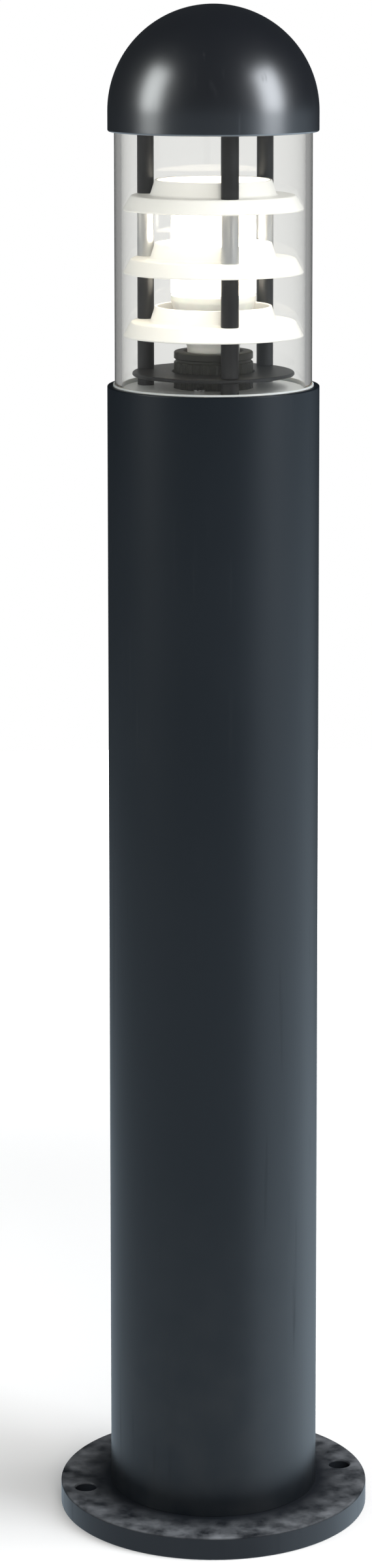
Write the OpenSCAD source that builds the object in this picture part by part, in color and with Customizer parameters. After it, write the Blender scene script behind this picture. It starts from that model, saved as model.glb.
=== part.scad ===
/* [Overall] */
// Height from the ground to the top of the domed cap
overall_h = 800; // [720:1:1000]
// Outer diameter of the post tube
post_d = 110; // [108:0.5:114]
// Wall of the post tube
post_wall = 3; // [2.5:0.1:3]

/* [Base] */
// Diameter of the base flange
flange_d = 164; // [158:1:200]
// Thickness of the base flange
flange_t = 12; // [10:0.5:16]
// Distance between the two anchor holes, centre to centre
anchor_pitch = 140; // [134:1:142]
// Diameter of each anchor hole
anchor_d = 11; // [9:0.5:12]
// Bore in the flange for the supply cable
cable_bore_d = 40; // [34:1:40]
// Hole in the cable grommet
grommet_hole_d = 12; // [8:0.5:16]

/* [Lantern] */
// Height of clear glass that shows between post and cap
glass_show_h = 131; // [125:1:135]
// Outer diameter of the glass tube
glass_d = 102.2; // [101:0.1:102.2]
// Wall of the glass tube
glass_wall = 3.5; // [3:0.1:3.5]
// Outer radius of the domed cap
cap_r = 54.5; // [54.5:0.1:57]
// Height of the straight skirt below the dome
skirt_h = 10.5; // [10.5:0.5:14]

/* [Louvre cage] */
// Radius of the circle that the three tie rods stand on
rod_pitch_r = 37.3; // [36.8:0.1:37.5]
// Diameter of a tie rod
rod_d = 5; // [4:0.5:5]
// Outer diameter of a spacer tube
spacer_d = 9; // [8:0.5:9]
// Number of louvre rings
louvre_count = 3; // [3:1:3]
// Outer radius of a louvre ring
louvre_r = 46.6; // [45:0.1:46.6]
// Inner radius of a louvre ring
louvre_inner_r = 29; // [26:0.5:30]
// Sheet thickness of a louvre ring
louvre_t = 1.2; // [1:0.1:1.5]

/* [Lamp] */
// Diameter of the lamp's opal envelope
lamp_d = 44; // [40:1:46]
// Length of the lamp, from contact to tip
lamp_l = 118; // [112:1:118]
// Pitch of the lamp's screw thread
thread_pitch = 3.629; // [3.629:0.001:3.629]

/* [Hidden] */
$fn = 96;

// Directions, as angles about the vertical axis; the screws sit on the back of the post
rod_angles = [-90, 30, 150];
screw_angles = [17, 137];
anchor_angles = [0, 180];
holder_screw_angles = [60, 240];

// Clearances and small common sizes
gap = 0.05;
fit = 0.2;
eps = 0.01;
chamfer = 1;
hole_gap = 0.1;
through = 60;

// Post and base
post_r = post_d / 2;
post_bore_r = post_r - post_wall;
flange_r = flange_d / 2;
spigot_r = post_bore_r - fit;
spigot_wall = 9.8;
spigot_h = 32;
base_screw_z = flange_t + 18;
base_screw_r = 3;

// Lantern, worked down from the top
cap_c = overall_h - cap_r;
cap_rim = cap_c - skirt_h;
post_top = cap_rim - glass_show_h;
cap_inner_r = cap_r - 5.5;
shoulder_z = cap_c - 0.5;
glass_r = glass_d / 2;
glass_inner_r = glass_r - glass_wall;
gasket_t = 3;
glass_top = shoulder_z - gasket_t;
groove_z = post_top - 10;
glass_foot = groove_z + gasket_t;
seat_top = post_top - 1;
seat_wall = 5;
seat_ceiling = seat_top - seat_wall;
seat_r = spigot_r;
plateau_r = glass_inner_r - 0.3;
seat_skirt_z = groove_z - 28;
seat_screw_z = seat_skirt_z + 10;
seat_screw_r = 2.5;

// Louvre cage
rod_r = rod_d / 2;
rod_hole_r = rod_r + hole_gap;
spacer_r = spacer_d / 2;
plate_t = 2;
plate_r = 42;
plate_z = seat_top + 6.5;
plate_top = plate_z + plate_t;
louvre_step = 32.5;
first_louvre_z = post_top + 32.4;
louvre_z = [for (i = [0 : louvre_count - 1]) first_louvre_z + i * louvre_step];
ring_t = 3;
ring_z = cap_rim + 3;
ring_r = 46;
ring_wall = 3;
ring_h = 17;
ring_bore_r = 27;
washer_t = 1;
washer_r = 5;
nut_h = 4;
nut_r = 4.62;
rod_top = ring_z + ring_t + washer_t + nut_h + 2;
rod_foot = seat_ceiling - nut_h - 4;
cap_screw_z = cap_c + 3.5;
cap_screw_r = 2;

// Lampholder and lamp
holder_r = 20.5;
holder_top = post_top + 18;
holder_foot = seat_ceiling - 22;
holder_flange_r = 27;
holder_bore_r = 14.6;
holder_floor = seat_ceiling - 12;
holder_screw_pitch_r = 23.8;
holder_screw_r = 1.5;
lamp_foot = holder_floor + 2;
contact_h = 2.2;
insulator_h = 3.8;
shell_z = lamp_foot + contact_h + insulator_h;
shell_h = 21;
housing_z = shell_z + shell_h;
lamp_r = lamp_d / 2;
envelope_z = lamp_foot + 64;
envelope_c = lamp_foot + lamp_l - lamp_r;
envelope_wall = 1.5;
thread_turns = 4;
thread_h = thread_turns * thread_pitch;
wave_steps = 8;

// Terminal bracket, block and leads
bracket_w = 30;
bracket_y = 36;
bracket_t = 2;
bracket_h = 98;
foot_y = 24;
block_z = flange_t + 72;
block_h = 22;
block_depth = 12;
pole_pitch = 10;
pit_depth = 3.6;
lead_r = 1.3;
knee_r = 1.5;
lead_y = bracket_y - block_depth / 2;
bracket_screw_r = 2;
bracket_screw_x = [-9, 9];
bracket_screw_y = (foot_y + bracket_y) / 2;
terminal_z = [block_z + 6, block_z + 16];
terminal_pit_r = 2.1;
poles = [-pole_pitch, 0, pole_pitch];
live_knee_z = 482;
neutral_knee_z = 472;
earth_knee_z = 535;
lead_hole_r = lead_r + hole_gap;
holder_entry_x = 8;
holder_entry_y = 10;
earth_y = 32;
tag_y = 38.5;
earth_screw_r = 2;

module at_angles(angles, r, z) {
    for (a = angles)
        rotate([0, 0, a]) translate([r, 0, z]) children();
}

// A hollow round piece standing on z
module sleeve(r, bore, h, z) {
    translate([0, 0, z]) difference() {
        cylinder(r = r, h = h);
        translate([0, 0, -eps]) cylinder(r = bore, h = h + 2 * eps);
    }
}

// A straight round hole along +X, from the axis outwards
module radial_hole(r, from, to) {
    translate([from, 0, 0]) rotate([0, 90, 0]) cylinder(r = r, h = to - from);
}

// A set screw along X with a hexagon socket in its outer end
module set_screw(r, from, to) {
    difference() {
        translate([from, 0, 0]) rotate([0, 90, 0]) cylinder(r = r, h = to - from);
        translate([to - r, 0, 0]) rotate([0, 90, 0]) cylinder(r = r * 0.55, h = r + eps, $fn = 6);
    }
}

// A screw standing with its head's underside on z = 0, its shank pointing down
module pan_screw(r, head_r, head_h, shank) {
    difference() {
        union() {
            translate([0, 0, -shank]) cylinder(r = r, h = shank + eps);
            cylinder(r = head_r, h = head_h * 0.6);
            translate([0, 0, head_h * 0.6]) cylinder(r1 = head_r, r2 = head_r * 0.7, h = head_h * 0.4);
        }
        translate([-head_r, -0.4, head_h * 0.45]) cube([2 * head_r, 0.8, head_h]);
    }
}

// An insulated lead through a list of points, with rounded knees
module lead(points) {
    for (i = [0 : len(points) - 2]) {
        step = points[i + 1] - points[i];
        run = norm(step);
        translate(points[i])
            rotate([0, acos(step[2] / run), atan2(step[1], step[0])])
                cylinder(r = lead_r, h = run, $fn = 24);
    }
    for (i = [1 : len(points) - 2])
        translate(points[i]) sphere(r = knee_r, $fn = 24);
}

module base_flange() {
    color("#4a4c50") difference() {
        union() {
            cylinder(r = flange_r, h = flange_t - chamfer);
            translate([0, 0, flange_t - chamfer])
                cylinder(r1 = flange_r, r2 = flange_r - chamfer, h = chamfer);
            cylinder(r = spigot_r, h = flange_t + spigot_h - chamfer);
            translate([0, 0, flange_t + spigot_h - chamfer])
                cylinder(r1 = spigot_r, r2 = spigot_r - chamfer, h = chamfer);
        }
        translate([0, 0, flange_t]) cylinder(r = spigot_r - spigot_wall, h = spigot_h + eps);
        translate([0, 0, -eps]) cylinder(d = cable_bore_d, h = flange_t + 2 * eps);
        at_angles(anchor_angles, anchor_pitch / 2, -eps)
            cylinder(d = anchor_d, h = flange_t + 2 * eps);
        at_angles(screw_angles, 0, base_screw_z)
            radial_hole(base_screw_r + gap, spigot_r - spigot_wall - 1, spigot_r + 1);
        for (x = bracket_screw_x)
            translate([x, bracket_screw_y, 3]) cylinder(r = bracket_screw_r + gap, h = flange_t);
    }
}

module cable_grommet() {
    sleeve_h = 8;
    lip_h = 2.5;
    recess = 2;
    sleeve_foot_r = 13;
    sleeve_tip_r = 9.5;
    color("#202122") difference() {
        union() {
            translate([0, 0, recess])
                cylinder(d = cable_bore_d - 2 * gap, h = flange_t - recess + eps);
            translate([0, 0, flange_t]) cylinder(d = cable_bore_d + 6, h = lip_h);
            translate([0, 0, flange_t + lip_h])
                cylinder(r1 = sleeve_foot_r, r2 = sleeve_tip_r, h = sleeve_h);
        }
        translate([0, 0, 1]) cylinder(d = grommet_hole_d, h = flange_t + lip_h + sleeve_h);
    }
}

module base_set_screws() {
    color("silver") at_angles(screw_angles, 0, base_screw_z)
        set_screw(base_screw_r, spigot_r - spigot_wall + 1, post_r - 0.5);
}

module terminal_bracket() {
    color("gainsboro") difference() {
        union() {
            translate([-bracket_w / 2, foot_y, flange_t])
                cube([bracket_w, bracket_y + bracket_t - foot_y, bracket_t]);
            translate([-bracket_w / 2, bracket_y, flange_t])
                cube([bracket_w, bracket_t, bracket_h]);
        }
        for (x = bracket_screw_x)
            translate([x, bracket_screw_y, flange_t - 1])
                cylinder(r = bracket_screw_r + fit, h = bracket_t + 2);
    }
}

module bracket_screws() {
    color("silver") for (x = bracket_screw_x)
        translate([x, bracket_screw_y, flange_t + bracket_t])
            pan_screw(bracket_screw_r, 3.6, 2.6, 10);
}

module terminal_block() {
    supply_hole_r = 1.7;
    color("ivory") difference() {
        translate([-bracket_w / 2, bracket_y - block_depth, block_z])
            cube([bracket_w, block_depth, block_h]);
        for (x = poles) {
            translate([x, lead_y, block_z + block_h - 7]) cylinder(r = lead_hole_r, h = 8);
            translate([x, lead_y, block_z - 1]) cylinder(r = supply_hole_r, h = 8);
            for (z = terminal_z)
                translate([x, bracket_y - block_depth - 1, z])
                    rotate([-90, 0, 0]) cylinder(r = terminal_pit_r, h = pit_depth + 1);
        }
    }
}

module terminal_screws() {
    head_r = terminal_pit_r - hole_gap;
    head_h = 3;
    slot_w = 0.6;
    color("goldenrod") for (x = poles, z = terminal_z)
        translate([x, bracket_y - block_depth + pit_depth, z])
            rotate([90, 0, 0]) difference() {
                cylinder(r = head_r, h = head_h);
                translate([-head_r, -slot_w / 2, head_h - 1]) cube([2 * head_r, slot_w, 2]);
            }
}

module lead_live() {
    color("saddlebrown") lead([
        [-pole_pitch, lead_y, block_z + block_h - 6],
        [-pole_pitch, lead_y, live_knee_z],
        [-holder_entry_x, holder_entry_y, holder_foot - 12],
        [-holder_entry_x, holder_entry_y, holder_foot + 3]
    ]);
}

module lead_neutral() {
    color("steelblue") lead([
        [0, lead_y, block_z + block_h - 6],
        [0, lead_y, neutral_knee_z],
        [holder_entry_x, holder_entry_y, holder_foot - 12],
        [holder_entry_x, holder_entry_y, holder_foot + 3]
    ]);
}

module lead_earth() {
    color("yellowgreen") lead([
        [pole_pitch, lead_y, block_z + block_h - 6],
        [pole_pitch, lead_y, earth_knee_z],
        [0, tag_y, seat_ceiling - 16],
        [0, tag_y, seat_ceiling - 6]
    ]);
}

module post_tube() {
    edge = 0.6;
    color("#3f444a") difference() {
        union() {
            translate([0, 0, flange_t]) cylinder(r = post_r, h = post_top - flange_t - edge);
            translate([0, 0, post_top - edge]) cylinder(r1 = post_r, r2 = post_r - edge, h = edge);
        }
        translate([0, 0, flange_t - eps]) cylinder(r = post_bore_r, h = post_top);
        at_angles(screw_angles, 0, base_screw_z)
            radial_hole(base_screw_r + fit, post_bore_r - 1, post_r + 1);
        at_angles(screw_angles, 0, seat_screw_z)
            radial_hole(seat_screw_r + fit, post_bore_r - 1, post_r + 1);
    }
}

module head_seat() {
    skirt_wall = 5.3;
    skirt_depth = 20;
    plateau_wall = 3.3;
    color("#d8dadb") difference() {
        union() {
            translate([0, 0, seat_skirt_z]) cylinder(r = seat_r, h = groove_z - seat_skirt_z);
            translate([0, 0, groove_z - eps]) cylinder(r = plateau_r, h = seat_top - groove_z + eps);
        }
        translate([0, 0, seat_skirt_z - eps]) cylinder(r = seat_r - skirt_wall, h = skirt_depth + eps);
        translate([0, 0, seat_skirt_z])
            cylinder(r = plateau_r - plateau_wall, h = seat_ceiling - seat_skirt_z);
        translate([0, 0, seat_skirt_z]) cylinder(r = holder_r + 0.3, h = through);
        at_angles(rod_angles, rod_pitch_r, seat_skirt_z) cylinder(r = rod_hole_r, h = through);
        at_angles(holder_screw_angles, holder_screw_pitch_r, seat_skirt_z)
            cylinder(r = holder_screw_r + hole_gap, h = through);
        at_angles(screw_angles, 0, seat_screw_z)
            radial_hole(seat_screw_r + gap, seat_r - 8, seat_r + 1);
        translate([0, earth_y, seat_ceiling - 1]) cylinder(r = earth_screw_r + gap, h = seat_wall);
    }
}

module seat_set_screws() {
    color("silver") at_angles(screw_angles, 0, seat_screw_z)
        set_screw(seat_screw_r, seat_r - 5, post_r - 0.5);
}

module earth_tag() {
    eye_r = 4.2;
    strip_w = 3.6;
    sheet = 1;
    barrel_r = 2;
    barrel_h = 9;
    color("khaki") difference() {
        union() {
            translate([0, earth_y, seat_ceiling - sheet]) cylinder(r = eye_r, h = sheet);
            translate([-strip_w / 2, earth_y, seat_ceiling - sheet])
                cube([strip_w, tag_y - earth_y + strip_w / 2, sheet]);
            translate([0, tag_y, seat_ceiling - barrel_h]) cylinder(r = barrel_r, h = barrel_h);
        }
        translate([0, earth_y, seat_ceiling - 2]) cylinder(r = earth_screw_r + hole_gap, h = 3);
        translate([0, tag_y, seat_ceiling - barrel_h - 1]) cylinder(r = lead_r + gap, h = barrel_h / 2);
    }
}

module earth_screw() {
    color("silver") translate([0, earth_y, seat_ceiling - 1]) mirror([0, 0, 1])
        pan_screw(earth_screw_r, 3.6, 2.6, 4.5);
}

// The base ring that the glass stands on, with a thin lip up its outside
module lower_gasket() {
    lip_r = post_bore_r - 0.1;
    color("#d9dad6") {
        difference() {
            translate([0, 0, groove_z]) cylinder(r = lip_r, h = post_top + 0.8 - groove_z);
            translate([0, 0, groove_z - 1]) cylinder(r = plateau_r + hole_gap, h = through);
            translate([0, 0, glass_foot]) cylinder(r = glass_r + fit + gap, h = through);
        }
    }
}

module lampholder() {
    flange_h = 3;
    color("#33342f") difference() {
        union() {
            translate([0, 0, holder_foot])
                cylinder(r = holder_r, h = holder_top - holder_foot - chamfer);
            translate([0, 0, holder_top - chamfer])
                cylinder(r1 = holder_r, r2 = holder_r - chamfer, h = chamfer);
            translate([0, 0, seat_ceiling - flange_h]) cylinder(r = holder_flange_r, h = flange_h);
        }
        translate([0, 0, holder_floor]) cylinder(r = holder_bore_r, h = through);
        at_angles(holder_screw_angles, holder_screw_pitch_r, seat_ceiling - flange_h - 1)
            cylinder(r = holder_screw_r + gap, h = flange_h + 2);
        for (x = [-holder_entry_x, holder_entry_x])
            translate([x, holder_entry_y, holder_foot - 1]) cylinder(r = lead_hole_r, h = 5);
    }
}

// Side of a sleeve with a rounded screw thread, as rings; side is 1 going up and -1 going down
function thread_wave(r, depth, side) = [
    for (i = [0 : thread_turns * wave_steps])
        let (t = side > 0 ? i : thread_turns * wave_steps - i)
            [r + depth * cos(t * 360 / wave_steps), thread_pitch * t / wave_steps]
];

module holder_shell() {
    shell_r = 13.65;
    sheet = 0.5;
    depth = 0.2;
    color("gold") translate([0, 0, shell_z + 2]) rotate_extrude()
        polygon(concat(thread_wave(shell_r, depth, 1), thread_wave(shell_r + sheet, depth, -1)));
}

module holder_contact() {
    color("gold") {
        translate([0, 0, holder_floor]) cylinder(r = 3.5, h = lamp_foot - holder_floor);
    }
}

module holder_screws() {
    color("silver") at_angles(holder_screw_angles, holder_screw_pitch_r, seat_top)
        pan_screw(holder_screw_r, 2.9, 2.2, 7.5);
}

// Flat plate under the louvres, round the lampholder
module cage_plate() {
    color("whitesmoke") difference() {
        sleeve(plate_r, holder_r + 1, plate_t, plate_z);
        at_angles(rod_angles, rod_pitch_r, plate_z - 1) cylinder(r = rod_hole_r, h = plate_t + 2);
    }
}

module tie_rod(angle) {
    edge = 0.5;
    straight_h = rod_top - rod_foot - edge;
    color("#46484a") rotate([0, 0, angle]) translate([rod_pitch_r, 0, rod_foot]) {
        cylinder(r = rod_r, h = straight_h);
        translate([0, 0, straight_h]) cylinder(r1 = rod_r, r2 = rod_r - edge, h = edge);
    }
}

module tie_rod_front() { tie_rod(rod_angles[0]); }
module tie_rod_right() { tie_rod(rod_angles[1]); }
module tie_rod_left() { tie_rod(rod_angles[2]); }

module spacers(from, to) {
    color("#3a3c3d") at_angles(rod_angles, rod_pitch_r, from) difference() {
        cylinder(r = spacer_r, h = to - from);
        translate([0, 0, -1]) cylinder(r = rod_hole_r, h = to - from + 2);
    }
}

module foot_spacers() { spacers(seat_top, plate_z); }
module low_spacers() { spacers(plate_top, louvre_z[0]); }
module mid_spacers() { spacers(louvre_z[0] + louvre_t, louvre_z[1]); }
module high_spacers() { spacers(louvre_z[1] + louvre_t, louvre_z[2]); }
module top_spacers() { spacers(louvre_z[2] + louvre_t, ring_z); }

// A spun ring: inner lip turned up, flat seat for the rods, outer blade turned down
module louvre(z) {
    lip_h = 9;
    drop = 6;
    flat_in = louvre_inner_r + 3.2;
    flat_out = louvre_r - 4;
    color("#e9ebec") difference() {
        translate([0, 0, z]) rotate_extrude() polygon([
            [louvre_inner_r, lip_h],
            [louvre_inner_r + louvre_t, lip_h],
            [flat_in + 0.5, louvre_t],
            [flat_out, louvre_t],
            [louvre_r, -drop + louvre_t],
            [louvre_r, -drop - 0.4],
            [flat_out - 0.6, 0],
            [flat_in - 0.4, 0]
        ]);
        at_angles(rod_angles, rod_pitch_r, z - 1) cylinder(r = rod_hole_r, h = louvre_t + 2);
    }
}

module louvre_low() { louvre(louvre_z[0]); }
module louvre_mid() { louvre(louvre_z[1]); }
module louvre_high() { louvre(louvre_z[2]); }

// Ring that ties the rods together and gives the cap's screws a wall to bear on
module top_ring() {
    color("#c9cbcc") difference() {
        union() {
            sleeve(ring_r, ring_bore_r, ring_t, ring_z);
            sleeve(ring_r, ring_r - ring_wall, ring_h, ring_z);
        }
        at_angles(rod_angles, rod_pitch_r, ring_z - 1) cylinder(r = rod_hole_r, h = ring_t + 2);
    }
}

module rod_nut(z) {
    at_angles(rod_angles, rod_pitch_r, z) difference() {
        cylinder(r = nut_r, h = nut_h, $fn = 6);
        translate([0, 0, -1]) cylinder(r = rod_r + gap, h = nut_h + 2);
    }
}

module rod_nuts_low() {
    color("silver") rod_nut(seat_ceiling - nut_h);
}

module rod_washers_top() {
    color("silver") at_angles(rod_angles, rod_pitch_r, 0)
        sleeve(washer_r, rod_hole_r, washer_t, ring_z + ring_t);
}

module rod_nuts_top() {
    color("silver") rod_nut(ring_z + ring_t + washer_t);
}

module lamp_contact() {
    contact_r = 4.6;
    tip_r = 3.4;
    tip_h = 0.8;
    color("silver") translate([0, 0, lamp_foot]) {
        cylinder(r1 = tip_r, r2 = contact_r, h = tip_h);
        translate([0, 0, tip_h]) cylinder(r = contact_r, h = contact_h - tip_h);
    }
}

module lamp_insulator() {
    color("#27282a") translate([0, 0, lamp_foot + contact_h])
        cylinder(r1 = 6, r2 = 11, h = insulator_h);
}

// Screw shell of the lamp, with its thread drawn as rings
module lamp_screw_shell() {
    thread_r = 12.7;
    depth = 0.35;
    foot_r = 11.4;
    wave_z = 3;
    collar_r = 13.2;
    collar_z = wave_z + thread_h + 0.6;
    color("silver") translate([0, 0, shell_z]) rotate_extrude() polygon(concat(
        [[0, 0], [foot_r, 0]],
        [for (p = thread_wave(thread_r, depth, 1)) [p[0], p[1] + wave_z]],
        [[collar_r, collar_z], [collar_r, shell_h], [0, shell_h]]
    ));
}

module lamp_housing() {
    neck_r = 13.6;
    neck_h = 9;
    flare_h = 24;
    color("white") translate([0, 0, housing_z]) {
        cylinder(r = neck_r, h = neck_h);
        translate([0, 0, neck_h]) cylinder(r1 = neck_r, r2 = lamp_r, h = flare_h);
        translate([0, 0, neck_h + flare_h])
            cylinder(r = lamp_r, h = envelope_z - housing_z - neck_h - flare_h);
    }
}

module lamp_board() {
    color("palegreen") translate([0, 0, envelope_z]) cylinder(r = lamp_r - envelope_wall - 0.3, h = 1.6);
}

module lamp_envelope() {
    inner_r = lamp_r - envelope_wall;
    straight_h = envelope_c - envelope_z;
    color("lightyellow") rotate_extrude() difference() {
        union() {
            quarter_disc(lamp_r, envelope_c);
            translate([0, envelope_z]) square([lamp_r, straight_h]);
        }
        translate([0, envelope_z - 1]) square([inner_r, straight_h + 1]);
        quarter_disc(inner_r, envelope_c);
    }
}

module glass_tube() {
    color([0.85, 0.92, 0.9, 0.35]) sleeve(glass_r, glass_inner_r, glass_top - glass_foot, glass_foot);
}

// Outline, to one side of the axis, of a quarter disc standing on z
module quarter_disc(r, z) {
    intersection() {
        translate([0, z]) circle(r = r);
        translate([0, z]) square([r + 1, r + 1]);
    }
}

module cap() {
    edge = 0.8;
    color("#2f3338") difference() {
        rotate_extrude() difference() {
            union() {
                quarter_disc(cap_r, cap_c);
                polygon([
                    [0, cap_rim],
                    [cap_r - edge, cap_rim],
                    [cap_r, cap_rim + edge],
                    [cap_r, cap_c],
                    [0, cap_c]
                ]);
            }
            translate([0, cap_rim - 1]) square([post_bore_r, shoulder_z - cap_rim + 1]);
            translate([0, cap_rim]) square([cap_inner_r, skirt_h]);
            quarter_disc(cap_inner_r, cap_c);
        }
        at_angles(screw_angles, 0, cap_screw_z)
            radial_hole(cap_screw_r + gap, cap_inner_r - 4, cap_r + 1);
    }
}

module upper_gasket() {
    color("#d9dad6") sleeve(post_bore_r - 0.3, glass_inner_r + 0.2, gasket_t, glass_top);
}

module cap_set_screws() {
    color("silver") at_angles(screw_angles, 0, cap_screw_z)
        set_screw(cap_screw_r, ring_r + gap, cap_r - 1.5);
}

base_flange();
cable_grommet();
base_set_screws();
terminal_bracket();
bracket_screws();
terminal_block();
terminal_screws();
lead_live();
lead_neutral();
lead_earth();
post_tube();
head_seat();
seat_set_screws();
earth_tag();
earth_screw();
lower_gasket();
lampholder();
holder_shell();
holder_contact();
holder_screws();
cage_plate();
tie_rod_front();
tie_rod_right();
tie_rod_left();
foot_spacers();
low_spacers();
mid_spacers();
high_spacers();
top_spacers();
louvre_low();
louvre_mid();
louvre_high();
top_ring();
rod_nuts_low();
rod_washers_top();
rod_nuts_top();
lamp_contact();
lamp_insulator();
lamp_screw_shell();
lamp_housing();
lamp_board();
lamp_envelope();
glass_tube();
cap();
upper_gasket();
cap_set_screws();
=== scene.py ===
import math

import bmesh
import bpy
from mathutils import Matrix, Vector


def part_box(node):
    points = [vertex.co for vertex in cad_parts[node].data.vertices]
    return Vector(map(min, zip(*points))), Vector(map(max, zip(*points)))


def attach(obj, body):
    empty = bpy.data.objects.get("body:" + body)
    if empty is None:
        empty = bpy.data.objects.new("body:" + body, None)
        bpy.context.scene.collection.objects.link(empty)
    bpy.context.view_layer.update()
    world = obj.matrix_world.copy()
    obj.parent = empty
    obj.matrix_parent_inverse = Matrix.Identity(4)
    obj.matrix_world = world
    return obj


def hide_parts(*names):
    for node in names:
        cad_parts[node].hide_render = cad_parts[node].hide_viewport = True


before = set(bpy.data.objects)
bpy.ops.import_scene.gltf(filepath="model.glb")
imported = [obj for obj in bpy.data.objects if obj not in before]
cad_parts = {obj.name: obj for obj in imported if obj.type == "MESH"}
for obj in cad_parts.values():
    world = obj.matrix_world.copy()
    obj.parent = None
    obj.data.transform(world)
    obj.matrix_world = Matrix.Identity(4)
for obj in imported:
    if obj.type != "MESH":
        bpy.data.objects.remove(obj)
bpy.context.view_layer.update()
mm = 0.001
onAxis = 1e-7  # a radius below this is a single point on the axis
rodAngles = [-90, 30, 150]
screwAngles = [17, 137]


# Corners are (r, z) or (r, z, fillet radius), in order round a closed outline
def roundedLoop(corners, steps=5):
    loop = []
    count = len(corners)
    for i, corner in enumerate(corners):
        here = Vector(corner[:2])
        fillet = corner[2] if len(corner) > 2 else 0
        if not fillet:
            loop.append(here)
            continue
        back = (Vector(corners[i - 1][:2]) - here).normalized()
        on = (Vector(corners[(i + 1) % count][:2]) - here).normalized()
        half = back.angle(on) / 2
        reach = fillet / math.tan(half)
        centre = here + (back + on).normalized() * (fillet / math.sin(half))
        start = here + back * reach - centre
        end = here + on * reach - centre
        sweep = math.atan2(start.cross(end), start.dot(end))
        for k in range(steps + 1):
            loop.append(centre + Matrix.Rotation(sweep * k / steps, 2) @ start)
    return loop


def arc(centre, arcR, fromDeg, toDeg, steps):
    points = []
    for k in range(steps + 1):
        turn = math.radians(fromDeg + (toDeg - fromDeg) * k / steps)
        points.append(Vector((centre[0] + arcR * math.cos(turn), centre[1] + arcR * math.sin(turn))))
    return points


# Adds points so that no side of the outline is longer than step
def refined(loop, step):
    fine = []
    for i, here in enumerate(loop):
        after = loop[(i + 1) % len(loop)]
        count = max(1, math.ceil((after - here).length / step))
        fine += [here.lerp(after, k / count) for k in range(count)]
    return fine


def meshObject(name, verts, faces):
    mesh = bpy.data.meshes.new(name)
    mesh.from_pydata([tuple(v) for v in verts], [], faces)
    mesh.validate()
    obj = bpy.data.objects.new(name, mesh)
    bpy.context.scene.collection.objects.link(obj)
    return obj


def fixNormals(obj):
    work = bmesh.new()
    work.from_mesh(obj.data)
    bmesh.ops.remove_doubles(work, verts=work.verts, dist=onAxis)
    bmesh.ops.recalc_face_normals(work, faces=work.faces)
    work.to_mesh(obj.data)
    work.free()


# Turns a closed outline of (r, z) points about the vertical axis;
# shape(r, z, angle) may give another radius for a point
def lathe(name, loop, segments=160, at=(0, 0, 0), shape=None):
    verts, rows = [], []
    for r, z in loop:
        if r < onAxis:
            rows.append([len(verts)])
            verts.append(Vector((0, 0, z)))
            continue
        rows.append(range(len(verts), len(verts) + segments))
        for k in range(segments):
            angle = 2 * math.pi * k / segments
            wide = shape(r, z, angle) if shape else r
            verts.append(Vector((wide * math.cos(angle), wide * math.sin(angle), z)))
    faces = []
    for i, row in enumerate(rows):
        after = rows[(i + 1) % len(rows)]
        if len(row) == 1 and len(after) == 1:
            continue
        for k in range(segments):
            n = (k + 1) % segments
            if len(row) == 1:
                faces.append((row[0], after[n], after[k]))
            elif len(after) == 1:
                faces.append((row[k], row[n], after[0]))
            else:
                faces.append((row[k], row[n], after[n], after[k]))
    offset = Vector(at)
    obj = meshObject(name, [v + offset for v in verts], faces)
    fixNormals(obj)
    return obj


def bakeModifiers(obj):
    graph = bpy.context.evaluated_depsgraph_get()
    mesh = bpy.data.meshes.new_from_object(obj.evaluated_get(graph))
    obj.modifiers.clear()
    obj.data = mesh


def cut(obj, cutters, operation="DIFFERENCE"):
    for cutter in cutters:
        mod = obj.modifiers.new("cut", "BOOLEAN")
        mod.operation = operation
        mod.solver = "EXACT"
        mod.object = cutter
    bakeModifiers(obj)
    for cutter in cutters:
        bpy.data.objects.remove(cutter)


# Lays a piece that was made along +Z out along +X, then swings it round the axis
def turned(obj, angleDeg, z=0.0):
    turn = (
        Matrix.Translation((0, 0, z))
        @ Matrix.Rotation(math.radians(angleDeg), 4, "Z")
        @ Matrix.Rotation(math.radians(90), 4, "Y")
    )
    obj.data.transform(turn)
    return obj


def joined(name, parts):
    work = bmesh.new()
    for part in parts:
        work.from_mesh(part.data)
        bpy.data.objects.remove(part)
    mesh = bpy.data.meshes.new(name)
    work.to_mesh(mesh)
    work.free()
    obj = bpy.data.objects.new(name, mesh)
    bpy.context.scene.collection.objects.link(obj)
    return obj


def smooth(obj, angleDeg=32):
    obj.data.shade_smooth()
    obj.data.set_sharp_from_angle(angle=math.radians(angleDeg))
    mod = obj.modifiers.new("normals", "WEIGHTED_NORMAL")
    mod.keep_sharp = True
    mod.weight = 80
    bakeModifiers(obj)


# Finishes a new piece: shading, material, body and the CAD nodes that it stands for
def settle(obj, material, body, slotName, *nodes, angleDeg=32):
    smooth(obj, angleDeg)
    obj.data.materials.clear()
    obj.data.materials.append(material)
    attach(obj, body)
    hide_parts(*nodes)
    return obj


def radius(node):
    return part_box(node)[1].x


def span(node):
    low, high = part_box(node)
    return low.z, high.z


def newGroup(name, inputs, outputs):
    tree = bpy.data.node_groups.new(name, "ShaderNodeTree")
    for label, value in inputs.items():
        socket = tree.interface.new_socket(label, in_out="INPUT", socket_type="NodeSocketFloat")
        socket.default_value = value
    for label in outputs:
        tree.interface.new_socket(label, in_out="OUTPUT", socket_type="NodeSocketFloat")
    start = tree.nodes.new("NodeGroupInput")
    end = tree.nodes.new("NodeGroupOutput")
    start.location = (-900, 0)
    end.location = (600, 0)
    return tree, start, end


def addNode(tree, kind, x=0, y=0, **settings):
    node = tree.nodes.new(kind)
    node.location = (x, y)
    for key, value in settings.items():
        setattr(node, key, value)
    return node


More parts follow.
